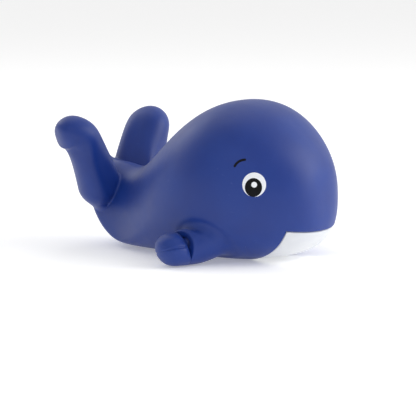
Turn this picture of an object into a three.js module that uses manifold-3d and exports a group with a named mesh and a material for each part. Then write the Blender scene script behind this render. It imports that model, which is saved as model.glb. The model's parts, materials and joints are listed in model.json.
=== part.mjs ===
// Soft vinyl bath whale: hollow casting, white chin, plug-in flippers and tail flukes, printed eyes.
// Millimetres, nose towards +X, left side towards +Y, up is +Z.

import * as THREE from 'three';
import { mergeVertices } from 'three/addons/utils/BufferGeometryUtils.js';
import Module from 'manifold-3d';

const wasm = await Module();
wasm.setup();

// Fits shared by every piece
const wall = 2.5;
const gap = 0.3;
const overshoot = 4;

// Body casting: heights and half widths at five even stations, from the tail end to the nose
const body = {
  halfLength: 63.3,
  endRoundness: 3,
  crown: [56, 38.7, 61.5, 70, 61.7],
  keel: [7.3, 0.4, -0.6, -1.8, -4.6],
  halfWidth: [23.5, 21.5, 36, 38.7, 24],
  widestHeight: [37.5, 5, 24.6, 33.5, 27.4],
  upperRoundness: 2.25,
  lowerRoundness: 2.5,
  rings: 36,
  segments: 40,
  innerRings: 22,
  innerSegments: 24,
};

// White chin: a tongue-shaped insert under the lip
const chin = {
  lipHeight: 15.4,
  halfWidth: 18,
  cheekX: 54,
  backX: 22,
  taper: 1.4,
  setBack: 0.4,
  rebate: 2.2,
  rebateThickness: 1.4,
  steps: 10,
};

// Flippers: a shoulder on the body, then a stubby paddle that swivels on its flanged neck
const flipper = {
  station: 0.315,
  angle: -38.7,
  standOff: 9.4,
  direction: new THREE.Vector3(-0.37, 0.905, -0.2).normalize(),
  shoulderRadius: 9,
  shoulderLength: 15,
  creaseRounding: 2.2,
  paddleLength: 11.6,
  paddleMiddle: 4.2,
  halfWidth: 8.4,
  halfThickness: 7.4,
  roundness: 2.3,
  neckRadius: 3.2,
  flangeRadius: 4.8,
  flangeThickness: 1.4,
  segments: 24,
};

// Tail flukes: lobes that rise from the tail and curl outwards; the bend and the tip are set from the root
const fluke = {
  station: -0.834,
  rootAside: 11,
  rootRise: 3.3,
  bendForwards: 2,
  bendAside: 11.1,
  bendRise: 39,
  tipForwards: -7.5,
  tipAside: 23.5,
  tipRise: 34.9,
  halfWidth: 11.2,
  halfThickness: 9,
  twist: 33,
  rootRounding: 0.13,
  tipRoundness: 2.7,
  plugHalfWidth: 5,
  plugHalfThickness: 3.6,
  plugLength: 10,
  plugLean: new THREE.Vector3(0, 0.8, 0.6).normalize(),
  rings: 16,
  segments: 20,
};

// Squirt hole eyelet in the belly
const nozzle = {
  x: 4,
  boreRadius: 1.5,
  neckRadius: 2.4,
  flangeRadius: 4,
  flangeThickness: 1,
  barbRadius: 3.2,
  barbLength: 1.6,
  segments: 24,
};

// Eye print, set flush in a shallow recess; the pupil and brow are placed from the eye's centre
const eye = {
  station: 0.723,
  angle: 10.7,
  depth: 0.7,
  whiteRadius: 5.4,
  pupilHalfWidth: 3.7,
  pupilHalfHeight: 4.05,
  pupilDrop: 1.4,
  glintRadius: 1.25,
  browBack: 3.5,
  browRise: 5.4,
  browRadius: 5,
  browStart: 91,
  browEnd: 153,
  browHalfWidth: 0.45,
  segments: 12,
};

const radians = Math.PI / 180;
const straightUp = new THREE.Vector3(0, 0, 1);
const nozzlePlace = new THREE.Vector3(nozzle.x, 0, 0);

const vinylBlue = new THREE.MeshStandardMaterial({ color: 0x24479a, roughness: 0.48, metalness: 0 });
const vinylWhite = new THREE.MeshStandardMaterial({ color: 0xf2f2f2, roughness: 0.45, metalness: 0 });
const printWhite = new THREE.MeshStandardMaterial({ color: 0xffffff, roughness: 0.4, metalness: 0 });
const printBlack = new THREE.MeshStandardMaterial({ color: 0x0a0b10, roughness: 0.35, metalness: 0 });

// A closed three.js geometry as a solid
function solid(geometry) {
  const plain = new THREE.BufferGeometry();
  plain.setAttribute('position', geometry.getAttribute('position').clone());
  if (geometry.index) plain.setIndex(geometry.index.clone());
  const merged = mergeVertices(plain, 1e-4);
  const all = merged.index.array;
  const kept = [];
  for (let i = 0; i < all.length; i += 3) {
    const [a, b, c] = [all[i], all[i + 1], all[i + 2]];
    if (a !== b && b !== c && c !== a) kept.push(a, b, c);
  }
  const vertProperties = new Float32Array(merged.getAttribute('position').array);
  const mesh = new wasm.Mesh({ numProp: 3, vertProperties, triVerts: new Uint32Array(kept) });
  return new wasm.Manifold(mesh);
}

// A solid back as a three.js mesh with a name and a material
function piece(name, shape, material) {
  const { vertProperties, triVerts } = shape.getMesh();
  const geometry = new THREE.BufferGeometry();
  geometry.setAttribute('position', new THREE.BufferAttribute(new Float32Array(vertProperties), 3));
  geometry.setIndex(new THREE.BufferAttribute(new Uint32Array(triVerts), 1));
  geometry.computeVertexNormals();
  const mesh = new THREE.Mesh(geometry, material);
  mesh.name = name;
  return mesh;
}

// Closed skin over equal rings, with a point at each end
function skin(start, rings, end) {
  const count = rings[0].length;
  const last = rings.length - 1;
  const points = [start, ...rings.flat(), end];
  const index = [];
  for (let i = 0; i < count; i += 1) {
    const next = (i + 1) % count;
    index.push(0, 1 + next, 1 + i);
    for (let k = 0; k < last; k += 1) {
      const near = 1 + k * count;
      const far = near + count;
      index.push(near + i, near + next, far + i);
      index.push(near + next, far + next, far + i);
    }
    const rim = 1 + last * count;
    index.push(rim + i, rim + next, points.length - 1);
  }
  const geometry = new THREE.BufferGeometry().setFromPoints(points);
  geometry.setIndex(index);
  return geometry;
}

// The smooth quartic through five even stations, read at u from -1 to 1
function along(stations, u) {
  let sum = 0;
  stations.forEach((value, i) => {
    let weight = 1;
    stations.forEach((other, j) => {
      if (i === j) return;
      const here = (2 * i) / (stations.length - 1) - 1;
      const there = (2 * j) / (stations.length - 1) - 1;
      weight *= (u - there) / (here - there);
    });
    sum += value * weight;
  });
  return sum;
}

// Point of the body's skin, pulled in by a distance: u runs from the tail, -1, to the nose, 1, and the
// angle goes round the section from the left side at 0 over the crown at 90. The base is cut flat.
function bodyPoint(u, degrees, inset = 0) {
  const blunt = (1 - Math.abs(u) ** body.endRoundness) ** (1 / body.endRoundness);
  const middle = along(body.widestHeight, u);
  const up = along(body.crown, u) - inset - middle;
  const down = middle - along(body.keel, u) - inset;
  const across = along(body.halfWidth, u) - inset;
  const c = Math.cos(degrees * radians);
  const s = Math.sin(degrees * radians);
  const power = s > 0 ? body.upperRoundness : body.lowerRoundness;
  const reach = blunt * (Math.abs(c) ** power + Math.abs(s) ** power) ** (-1 / power);
  const z = middle + (s > 0 ? up : down) * reach * s;
  return new THREE.Vector3((body.halfLength - inset) * u, across * reach * c, Math.max(z, inset));
}

// Direction that the body's skin faces at a point
function bodyNormal(u, degrees) {
  const step = 0.001;
  const lengthwise = bodyPoint(u + step, degrees).sub(bodyPoint(u - step, degrees));
  const round = bodyPoint(u, degrees + step).sub(bodyPoint(u, degrees - step));
  return round.cross(lengthwise).normalize();
}

// Closed skin from tail to nose through the points that a rule gives, closer together at the ends
function wrapped(pointAt, inset, ringCount, segmentCount) {
  const rings = [];
  for (let k = 1; k < ringCount; k += 1) {
    const u = -Math.cos((Math.PI * k) / ringCount);
    const ring = [];
    for (let i = 0; i < segmentCount; i += 1) ring.push(pointAt(u, (360 * i) / segmentCount));
    rings.push(ring);
  }
  return solid(skin(bodyPoint(-1, 0, inset), rings, bodyPoint(1, 0, inset)));
}

function bodySkin(inset, ringCount, segmentCount) {
  const pointAt = (u, degrees) => bodyPoint(u, degrees, inset);
  return wrapped(pointAt, inset, ringCount, segmentCount);
}

const outerSkin = (inset) => bodySkin(inset, body.rings, body.segments);
const innerSkin = (inset) => bodySkin(inset, body.innerRings, body.innerSegments);

// Skin that clears the body by the same gap all over, square to its surface
function clearSkin() {
  const pointAt = (u, degrees) => bodyPoint(u, degrees).addScaledVector(bodyNormal(u, degrees), gap);
  return wrapped(pointAt, -gap, body.rings, body.segments);
}

// A solid of revolution about +Y, carried to a place with its axis along a direction
function turned(profile, segments, place, direction, flatten = 1) {
  const points = profile.map(([radius, height]) => new THREE.Vector2(radius, height));
  const geometry = new THREE.LatheGeometry(points, segments);
  geometry.scale(1, 1, flatten);
  const steep = Math.abs(direction.z) > 0.9;
  const reference = steep ? new THREE.Vector3(1, 0, 0) : straightUp.clone();
  const sideways = reference.cross(direction).normalize();
  const upright = sideways.clone().cross(direction);
  geometry.applyMatrix4(new THREE.Matrix4().makeBasis(sideways, direction, upright));
  geometry.translate(place.x, place.y, place.z);
  return solid(geometry);
}

const plainRod = (radius, from, to) => [[0, from], [radius, from], [radius, to], [0, to]];

// A vector given for the left side, on either side of the body
const onSide = ({ x, y, z }, side) => new THREE.Vector3(x, y * side, z);

// Plan outline of the chin, grown all round by a clearance, as an upright prism
function chinPrism(grow) {
  const { cheekX, backX, halfWidth, taper, lipHeight, steps } = chin;
  const front = body.halfLength + overshoot;
  const half = [[front, halfWidth + grow]];
  for (let i = 0; i < steps; i += 1) {
    const share = i / steps;
    const x = cheekX - share * (cheekX - backX + grow);
    half.push([x, (halfWidth + grow) * (1 - share ** taper) ** (1 / taper)]);
  }
  const outline = new THREE.Shape();
  outline.moveTo(half[0][0], half[0][1]);
  half.slice(1).forEach(([x, y]) => outline.lineTo(x, y));
  outline.lineTo(backX - grow, 0);
  half.reverse().forEach(([x, y]) => outline.lineTo(x, -y));
  const height = lipHeight + grow + overshoot;
  const geometry = new THREE.ExtrudeGeometry(outline, { depth: height, bevelEnabled: false });
  geometry.translate(0, 0, -overshoot);
  return solid(geometry);
}

// Middle of the crease where a flipper meets its shoulder, stood off from the skin
function flipperPivot(side) {
  const foot = bodyPoint(flipper.station, flipper.angle);
  return onSide(foot.addScaledVector(flipper.direction, flipper.standOff), side);
}

// Shoulder stub that leaves the body round the flipper's pivot, rounded at the crease
function shoulder(side) {
  const { shoulderRadius, shoulderLength, creaseRounding } = flipper;
  const profile = [[0, -shoulderLength], [shoulderRadius, -shoulderLength]];
  const creaseSteps = 4;
  for (let i = 0; i <= creaseSteps; i += 1) {
    const angle = (i / creaseSteps) * Math.PI * 0.5;
    const radius = shoulderRadius - creaseRounding * (1 - Math.cos(angle));
    profile.push([radius, -creaseRounding + creaseRounding * Math.sin(angle)]);
  }
  profile.push([0, 0]);
  return turned(profile, flipper.segments, flipperPivot(side), onSide(flipper.direction, side));
}

// Hollow of the shoulder and the round hole for the flipper's neck
function shoulderHollow(side) {
  const direction = onSide(flipper.direction, side);
  const pivot = flipperPivot(side);
  const { segments, shoulderLength, flangeRadius, neckRadius } = flipper;
  const hollow = plainRod(flangeRadius + gap + gap, -shoulderLength, -wall);
  const hole = plainRod(neckRadius + gap, -wall - gap, gap);
  return turned(hollow, segments, pivot, direction).add(turned(hole, segments, pivot, direction));
}

// Flipper: a rounded paddle, with a neck and flange that snap into the shoulder
function flipperSolid(side) {
  const { paddleLength, paddleMiddle, halfWidth, halfThickness, roundness } = flipper;
  const { neckRadius, flangeRadius, flangeThickness, segments } = flipper;
  const reach = paddleLength - paddleMiddle;
  const steps = 12;
  const profile = [[0, gap]];
  for (let i = 0; i < steps; i += 1) {
    const height = gap + (paddleLength - gap) * Math.sin((i / steps) * Math.PI * 0.5);
    const share = Math.abs((height - paddleMiddle) / reach);
    profile.push([halfWidth * (1 - share ** roundness) ** (1 / roundness), height]);
  }
  profile.push([0, paddleLength]);
  const direction = onSide(flipper.direction, side);
  const pivot = flipperPivot(side);
  const paddle = turned(profile, segments, pivot, direction, halfThickness / halfWidth);
  const seat = -wall - gap;
  const neck = turned([
    [0, seat - flangeThickness],
    [flangeRadius - gap, seat - flangeThickness],
    [flangeRadius, seat - flangeThickness + gap],
    [flangeRadius, seat],
    [neckRadius, seat],
    [neckRadius, paddleMiddle],
    [0, paddleMiddle],
  ], segments, pivot, direction);
  return paddle.add(neck);
}

// Spine of a fluke, from its root inside the tail to its tip
function flukeSpine(side) {
  const { station, rootAside, rootRise } = fluke;
  const height = along(body.widestHeight, station) + rootRise;
  const root = new THREE.Vector3(body.halfLength * station, rootAside, height);
  const bend = new THREE.Vector3(fluke.bendForwards, fluke.bendAside, fluke.bendRise).add(root);
  const tip = new THREE.Vector3(fluke.tipForwards, fluke.tipAside, fluke.tipRise).add(root);
  return new THREE.QuadraticBezierCurve3(onSide(root, side), onSide(bend, side), onSide(tip, side));
}

// Fluke: oval sections across the spine, rounded at the root and the tip
function flukeLobe(side) {
  const { halfWidth, halfThickness, twist, rootRounding, tipRoundness, rings, segments } = fluke;
  const spine = flukeSpine(side);
  const broad = new THREE.Vector3(Math.cos(twist * radians), side * Math.sin(twist * radians), 0);
  const ringAt = (s) => {
    const centre = spine.getPoint(s);
    const ahead = spine.getTangent(s);
    const across = broad.clone().addScaledVector(ahead, -broad.dot(ahead)).normalize();
    const through = ahead.clone().cross(across);
    const start = Math.sqrt(1 - Math.max(0, 1 - s / rootRounding) ** 2);
    const size = start * (1 - s ** tipRoundness) ** (1 / tipRoundness);
    const ring = [];
    for (let i = 0; i < segments; i += 1) {
      const angle = (2 * Math.PI * i) / segments;
      const point = centre.clone().addScaledVector(across, halfWidth * size * Math.cos(angle));
      ring.push(point.addScaledVector(through, halfThickness * size * Math.sin(angle)));
    }
    return ring;
  };
  const all = [];
  for (let k = 1; k < rings; k += 1) {
    all.push(ringAt((1 - Math.cos((Math.PI * k) / rings)) / 2));
  }
  return solid(skin(spine.getPoint(0), all, spine.getPoint(1)));
}

// Oval plug that carries a fluke through the wall of the tail
function flukePlug(side, grow) {
  const seat = flukeSpine(side).getPoint(fluke.rootRounding);
  const { plugHalfWidth, plugHalfThickness, plugLength, plugLean, segments } = fluke;
  const direction = onSide(plugLean, side);
  const profile = plainRod(plugHalfWidth + grow, -plugLength - grow, 0);
  return turned(profile, segments, seat, direction, (plugHalfThickness + grow) / (plugHalfWidth + grow));
}

// Directions of the eye print: forwards, upwards and out of the cheek
function eyeFrame(side) {
  const out = onSide(bodyNormal(eye.station, eye.angle), side);
  const forwards = straightUp.clone().cross(out).normalize().multiplyScalar(-side);
  const upwards = straightUp.clone().addScaledVector(out, -out.z).normalize();
  return { out, forwards, upwards };
}

// A flat outline on the cheek as a prism through the skin, with eye coordinates forwards and upwards
function eyePrism(side, outline) {
  const { out, forwards, upwards } = eyeFrame(side);
  const geometry = new THREE.ExtrudeGeometry(outline, {
    depth: 2 * overshoot,
    bevelEnabled: false,
    curveSegments: eye.segments,
  });
  geometry.translate(0, 0, -overshoot);
  const handed = forwards.clone().multiplyScalar(-side);
  geometry.applyMatrix4(new THREE.Matrix4().makeBasis(handed, upwards, out));
  const centre = onSide(bodyPoint(eye.station, eye.angle), side);
  geometry.translate(centre.x, centre.y, centre.z);
  return solid(geometry);
}

// Outlines of the eye's inks, grown all round by a clearance
function oval(drop, halfWidth, halfHeight) {
  return new THREE.Shape().absellipse(0, -drop, halfWidth, halfHeight, 0, 2 * Math.PI, false, 0);
}

const whiteOutline = (grow) => oval(0, eye.whiteRadius + grow, eye.whiteRadius + grow);
const glintOutline = (grow) => oval(0, eye.glintRadius + grow, eye.glintRadius + grow);

function pupilOutline(grow) {
  return oval(eye.pupilDrop, eye.pupilHalfWidth + grow, eye.pupilHalfHeight + grow);
}

// The brow is an arc of constant width with round ends
function browOutline(side, grow) {
  const { browBack, browRise, browRadius, browHalfWidth } = eye;
  const start = eye.browStart * radians;
  const end = eye.browEnd * radians;
  const half = browHalfWidth + grow;
  const at = (radius, angle) => [-browBack + radius * Math.cos(angle), browRise + radius * Math.sin(angle)];
  const handed = ([x, y]) => [-side * x, y];
  const steps = 8;
  const points = [];
  for (let i = 0; i <= steps; i += 1) {
    points.push(at(browRadius + half, start + ((end - start) * i) / steps));
  }
  const capSteps = 3;
  for (let i = 1; i < capSteps; i += 1) {
    const [x, y] = at(browRadius, end);
    const angle = end + (Math.PI * i) / capSteps;
    points.push([x + half * Math.cos(angle), y + half * Math.sin(angle)]);
  }
  for (let i = steps; i >= 0; i -= 1) {
    points.push(at(browRadius - half, start + ((end - start) * i) / steps));
  }
  for (let i = 1; i < capSteps; i += 1) {
    const [x, y] = at(browRadius, start);
    const angle = start + Math.PI + (Math.PI * i) / capSteps;
    points.push([x + half * Math.cos(angle), y + half * Math.sin(angle)]);
  }
  return new THREE.Shape(points.map(handed).map(([x, y]) => new THREE.Vector2(x, y)));
}

// Nozzle: flange below, neck through the wall, barb above
function nozzleSolid() {
  const { boreRadius, neckRadius, flangeRadius, flangeThickness, barbRadius, barbLength, segments } = nozzle;
  const seat = wall + gap;
  const profile = [
    [boreRadius, gap],
    [flangeRadius, gap],
    [flangeRadius, gap + flangeThickness],
    [neckRadius, gap + flangeThickness],
    [neckRadius, seat],
    [barbRadius, seat],
    [neckRadius, seat + barbLength],
    [boreRadius, seat + barbLength],
    [boreRadius, gap],
  ];
  return turned(profile, segments, nozzlePlace, straightUp);
}

// Counterbore and hole that the nozzle snaps into
function nozzleSeat() {
  const { neckRadius, flangeRadius, flangeThickness, segments } = nozzle;
  const counterbore = plainRod(flangeRadius + gap, -overshoot, flangeThickness + gap + gap);
  const hole = plainRod(neckRadius + gap, -overshoot, wall + overshoot);
  const wide = turned(counterbore, segments, nozzlePlace, straightUp);
  return wide.add(turned(hole, segments, nozzlePlace, straightUp));
}

// Chin insert: flush between the edges of its opening, with a rebate lip behind the wall
function chinSolid() {
  const rebate = innerSkin(wall + gap).intersect(chinPrism(chin.rebate));
  const inside = innerSkin(wall + gap + chin.rebateThickness);
  return outerSkin(chin.setBack).intersect(chinPrism(0)).add(rebate).subtract(inside);
}

const sides = [['left', 1], ['right', -1]];
const outer = outerSkin(0);
const skinClear = clearSkin();
const printFloor = outerSkin(eye.depth);
const recessFloor = outerSkin(eye.depth + gap);
const whale = new THREE.Group();

let shell = outer;
sides.forEach(([, side]) => {
  shell = shell.add(shoulder(side));
});
shell = shell.subtract(innerSkin(wall)).subtract(chinPrism(gap)).subtract(nozzleSeat());

sides.forEach(([name, side]) => {
  const whitePrism = eyePrism(side, whiteOutline(gap));
  const pupilPrism = eyePrism(side, pupilOutline(gap));
  const browPrism = eyePrism(side, browOutline(side, gap));
  shell = shell.subtract(shoulderHollow(side)).subtract(flukePlug(side, gap));
  shell = shell.subtract(whitePrism.add(pupilPrism).add(browPrism).subtract(recessFloor));

  const print = (shape) => eyePrism(side, shape).intersect(outer).subtract(printFloor);
  const white = print(whiteOutline(0)).subtract(pupilPrism);
  const pupil = print(pupilOutline(0)).subtract(eyePrism(side, glintOutline(gap)));
  const lobe = flukeLobe(side).subtract(skinClear).add(flukePlug(side, 0));
  whale.add(piece(`${name}_flipper`, flipperSolid(side), vinylBlue));
  whale.add(piece(`${name}_fluke`, lobe, vinylBlue));
  whale.add(piece(`${name}_eye_white`, white, printWhite));
  whale.add(piece(`${name}_pupil`, pupil, printBlack));
  whale.add(piece(`${name}_eye_glint`, print(glintOutline(0)), printWhite));
  whale.add(piece(`${name}_brow`, print(browOutline(side, 0)), printBlack));
});
whale.add(piece('body_shell', shell, vinylBlue));
whale.add(piece('chin', chinSolid(), vinylWhite));
whale.add(piece('squirt_nozzle', nozzleSolid(), vinylBlue));

// The origin is under the middle of the whole toy, on the plane that it rests on
const extent = new THREE.Box3().setFromObject(whale);
const middle = extent.getCenter(new THREE.Vector3());
whale.position.set(-middle.x, -middle.y, -extent.min.z);
whale.updateMatrixWorld(true);

export default whale;
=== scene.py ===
# Bath toy whale in soft vinyl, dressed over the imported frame.
# Lengths in the dictionaries are in millimetres; every mesh is written in metres, +X to the nose and +Z up.
import json
import math
import bmesh
import bpy
import numpy as np
from mathutils import Matrix, Vector


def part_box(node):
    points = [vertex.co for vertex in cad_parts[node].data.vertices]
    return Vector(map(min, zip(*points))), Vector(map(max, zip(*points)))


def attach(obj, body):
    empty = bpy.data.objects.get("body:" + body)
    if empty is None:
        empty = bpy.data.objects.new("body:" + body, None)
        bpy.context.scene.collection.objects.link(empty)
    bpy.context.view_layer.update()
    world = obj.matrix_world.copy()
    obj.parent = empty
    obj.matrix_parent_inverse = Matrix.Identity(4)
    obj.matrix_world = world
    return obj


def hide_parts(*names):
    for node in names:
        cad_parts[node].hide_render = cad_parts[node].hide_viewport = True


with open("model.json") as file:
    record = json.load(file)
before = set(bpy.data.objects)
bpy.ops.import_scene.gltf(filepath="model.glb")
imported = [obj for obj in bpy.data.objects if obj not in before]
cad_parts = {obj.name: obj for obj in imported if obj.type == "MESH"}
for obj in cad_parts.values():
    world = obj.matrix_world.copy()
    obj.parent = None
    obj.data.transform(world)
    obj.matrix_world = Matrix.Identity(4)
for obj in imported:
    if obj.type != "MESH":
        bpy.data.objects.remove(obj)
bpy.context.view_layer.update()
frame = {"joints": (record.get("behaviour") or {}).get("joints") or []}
mm = 0.001
print("frame loaded")

# Scales are a pattern's repeats in a metre, heights are in millimetres and haze is the roughness
vinyl = {"sheen": 0.05, "ior": 1.5, "grainScale": 1500, "grainHeight": 0.012, "waveScale": 95,
         "waveHeight": 0.05}
ink = {"sheen": 0.0, "grainScale": 2600, "grainHeight": 0.008, "waveScale": 240, "waveHeight": 0.02,
       "mottleScale": 220, "hazeSpread": 0.1, "rubAmount": 0.3}
finish = {
    "blue_vinyl": {
        "colour": (0.0010, 0.028, 0.225), "second": (0.0022, 0.034, 0.250), "rubColour": (0.05, 0.085, 0.33),
        **vinyl, "mottleScale": 46, "haze": 0.47, "hazeSpread": 0.09, "rubAmount": 0.32,
    },
    "white_vinyl": {
        "colour": (0.71, 0.73, 0.77), "second": (0.75, 0.765, 0.79), "rubColour": (0.72, 0.72, 0.73),
        **vinyl, "mottleScale": 60, "haze": 0.42, "hazeSpread": 0.08, "rubAmount": 0.25,
    },
    "white_print": {
        "colour": (0.84, 0.87, 0.93), "second": (0.88, 0.90, 0.94), "rubColour": (0.55, 0.59, 0.68),
        **ink, "ior": 1.48, "haze": 0.38,
    },
    "black_print": {
        "colour": (0.003, 0.003, 0.0045), "second": (0.006, 0.006, 0.008), "rubColour": (0.02, 0.022, 0.03),
        **ink, "ior": 1.22, "haze": 0.33,
    },
}
skinInputs = ["grainScale", "grainHeight", "waveScale", "waveHeight", "mottleScale", "haze", "hazeSpread",
              "rubAmount"]
skinOutputs = ["Height", "Roughness", "Mottle", "Rub"]
pattern = {
    "poreScale": 0.3,               # of the grain's scale
    "poreReach": 0.25,              # how far a pore spreads, against their spacing
    "poreDepth": 0.5,               # of the grain's height
    "bloomScale": 5,                # of the mottle's scale: a finer drift of the haze
    "bloomShare": 0.6,
    "streakScale": 9,               # of the waves' scale
    "streakTurn": (0.3, 0.2, 0.5),
    "streakStretch": (0.12, 1, 1),
    "rubStreaks": (0.63, 0.74),     # where on the streaks' noise a rub comes in
    "rubPatches": (0.5, 0.68),      # and where on the mottle's
    "rubDepth": 0.01,
    "rubHaze": 0.2,                 # how much duller a rub is
    "secondColour": (0.34, 0.66),   # where on the mottle's noise the second colour comes in
    "sheenRoughness": 0.45,
}


def addNode(tree, kind, **links):
    # a new node whose sockets, by name or as n and a number, take a value or a wire from another socket
    node = tree.nodes.new("ShaderNode" + kind)
    for name, source in links.items():
        socket = node.inputs[int(name[1:])] if name[1:].isdigit() else node.inputs[name.replace("_", " ")]
        if isinstance(source, bpy.types.NodeSocket):
            tree.links.new(source, socket)
        else:
            socket.default_value = source
    return node


def calculate(tree, operation, first, second):
    # one sum, difference or product of two values
    node = addNode(tree, "Math", n0=first, n1=second)
    node.operation = operation
    return node.outputs[0]


def spread(tree, value, low, high, lowest, highest):
    # a value's stretch from low to high carried smoothly to lowest to highest
    node = addNode(tree, "MapRange", Value=value, From_Min=low, From_Max=high, To_Min=lowest, To_Max=highest)
    node.interpolation_type = "SMOOTHSTEP"
    return node.outputs[0]


def moulding():
    # grain and shallow waves as a height in millimetres, drifting haze, mottle, and rubs along faint streaks
    group = bpy.data.node_groups.new("mouldedSkin", "ShaderNodeTree")
    for name in skinInputs:
        group.interface.new_socket(name, in_out="INPUT", socket_type="NodeSocketFloat")
    for name in skinOutputs:
        group.interface.new_socket(name, in_out="OUTPUT", socket_type="NodeSocketFloat")
    inside = group.nodes.new("NodeGroupInput").outputs
    result = group.nodes.new("NodeGroupOutput").inputs
    place = addNode(group, "TexCoord").outputs["Object"]

    def add(first, second):
        # sum of two values
        return calculate(group, "ADD", first, second)

    def less(first, second):
        # the first value less the second
        return calculate(group, "SUBTRACT", first, second)

    def times(first, second):
        # product of two values
        return calculate(group, "MULTIPLY", first, second)

    def noise(where, scale, detail, roughness):
        # cloudy noise from nought to one
        node = addNode(group, "TexNoise", Vector=where, Scale=scale, Detail=detail, Roughness=roughness)
        return node.outputs[0]

    grain = noise(place, inside["grainScale"], 3, 0.6)
    poreScale = times(inside["grainScale"], pattern["poreScale"])
    pores = addNode(group, "TexVoronoi", Vector=place, Scale=poreScale).outputs["Distance"]
    waves = noise(place, inside["waveScale"], 2, 0.4)
    mottle = noise(place, inside["mottleScale"], 4, 0.55)
    bloom = noise(place, times(inside["mottleScale"], pattern["bloomScale"]), 3, 0.5)
    turned = addNode(group, "Mapping", Vector=place, Rotation=pattern["streakTurn"],
                     Scale=pattern["streakStretch"])
    streaks = noise(turned.outputs[0], times(inside["waveScale"], pattern["streakScale"]), 2, 0.5)
    pits = times(spread(group, pores, 0, pattern["poreReach"], -1, 0), pattern["poreDepth"])
    fine = times(add(grain, pits), inside["grainHeight"])
    height = add(fine, times(waves, inside["waveHeight"]))
    alongStreaks = spread(group, streaks, *pattern["rubStreaks"], 0, 1)
    rub = times(alongStreaks, spread(group, mottle, *pattern["rubPatches"], 0, 1))
    scuff = times(rub, inside["rubAmount"])
    drift = add(less(mottle, 0.5), times(less(bloom, 0.5), pattern["bloomShare"]))
    rough = add(inside["haze"], times(drift, times(inside["hazeSpread"], 2)))
    values = [
        less(height, times(scuff, pattern["rubDepth"])),
        add(rough, times(scuff, pattern["rubHaze"])),
        spread(group, mottle, *pattern["secondColour"], 0, 1),
        scuff,
    ]
    for name, value in zip(skinOutputs, values):
        group.links.new(value, result[name])
    return group


def mixColours(tree, share, first, second):
    # the first colour turning into the second by a share
    node = tree.nodes.new("ShaderNodeMix")
    node.data_type = "RGBA"
    tree.links.new(share, node.inputs["Factor"])
    for socket, colour in ((node.inputs[6], first), (node.inputs[7], second)):
        if isinstance(colour, bpy.types.NodeSocket):
            tree.links.new(colour, socket)
        else:
            socket.default_value = (*colour, 1)
    return node.outputs[2]


def mouldedMaterial(name, group):
    # two close colours by mottle, a paler one on the rubs, haze in the roughness and a bump from the height
    values = finish[name]
    material = bpy.data.materials.new(name)
    material.use_nodes = True
    tree = material.node_tree
    shader = tree.nodes["Principled BSDF"]
    skin = tree.nodes.new("ShaderNodeGroup")
    skin.node_tree = group
    for socket in skinInputs:
        skin.inputs[socket].default_value = values[socket]
    base = mixColours(tree, skin.outputs["Mottle"], values["colour"], values["second"])
    worn = mixColours(tree, skin.outputs["Rub"], base, values["rubColour"])
    tree.links.new(worn, shader.inputs["Base Color"])
    tree.links.new(skin.outputs["Roughness"], shader.inputs["Roughness"])
    bump = addNode(tree, "Bump", Height=skin.outputs["Height"], Distance=mm)
    tree.links.new(bump.outputs["Normal"], shader.inputs["Normal"])
    shader.inputs["IOR"].default_value = values["ior"]
    shader.inputs["Sheen Weight"].default_value = values["sheen"]
    shader.inputs["Sheen Roughness"].default_value = pattern["sheenRoughness"]
    return material


mouldedSkin = moulding()
finishes = {name: mouldedMaterial(name, mouldedSkin) for name in finish}
print("finishes made")

body = {
    "halfLength": 63.3,
    "endRoundness": 3,
    "crown": [56, 38.7, 61.5, 70, 61.7],    # five even stations, from the tail end to the nose
    "keel": [7.3, 0.4, -0.6, -1.8, -4.6],
    "halfWidth": [23.5, 21.5, 36, 38.7, 26.8],
    "widestHeight": [37.5, 5, 24.6, 33.5, 27.4],
    "upperRoundness": 2.25,
    "lowerRoundness": 2.5,
    "saddle": [-0.765, 5.8, 0.13, 0.16],    # rise between the flukes: station, size, reach behind and ahead
    "tailDrop": [-0.985, 3.1, 0.05, 0.05],  # and its drop at the tail's end
    "baseSoftness": 0.45,   # half height over which the flat belly's edge rounds
    "tailRows": 130,
    "edgeRows": 16,         # extra rows that carry the rounded edge of the mouth
    "edgeReach": 0.022,     # the share of the way from the tail that they take up
    "noseReach": 0.12,      # and of the way from the lip to the nose
    "noseRows": 60,
    "mouthColumns": 90,
    "otherColumns": 190,
    "crowding": 0.6,        # how much closer the other columns stand at the mouth's corners
}
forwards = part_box("body_shell")[1][0] / mm - body["halfLength"]    # from the body's own middle to the toy's
stations = np.linspace(-1, 1, 5)
curves = {name: np.polyfit(stations, body[name], 4)
          for name in ("crown", "keel", "halfWidth", "widestHeight")}


def unit(v):
    # a vector over its own length
    return v / np.maximum(np.linalg.norm(v, axis=-1, keepdims=True), 1e-12)


def dot(a, b):
    # sum of the products of the coordinates
    return (a * b).sum(-1)


def bell(distance, reach):
    # one at the middle, falling off as the exponential of the squared distance over the reach
    return np.exp(-(distance / reach) ** 2)


def wholeTurn(count):
    # turns at even steps all round, in radians
    return np.linspace(0, 2 * math.pi, count + 1)[:-1]


def facing(turn, at):
    # one for a turn that faces so many degrees, falling as a cosine to nought opposite
    return 0.5 + 0.5 * np.cos(turn - math.radians(at))


def degreesFrom(turn, at):
    # how many degrees a turn lies to either side of a place
    return (np.degrees(turn) - at + 180) % 360 - 180


def hump(u, at, rise, behind, ahead):
    # a bell with one reach behind its place and another ahead of it
    return rise * bell(u - at, np.where(u < at, behind, ahead))


def softFloor(z, floor, softness):
    # a height kept above a floor, with a parabola of twice the softness between the two
    d = z - floor
    return floor + np.where(d > softness, d, np.where(d < -softness, 0, (d + softness) ** 2 / (4 * softness)))


def endNorm(sweep):
    # size of a sweep's cosine and sine together, by the norm of the body's ends
    power = body["endRoundness"]
    return (np.abs(np.cos(sweep)) ** power + np.abs(np.sin(sweep)) ** power) ** (1 / power)


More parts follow.
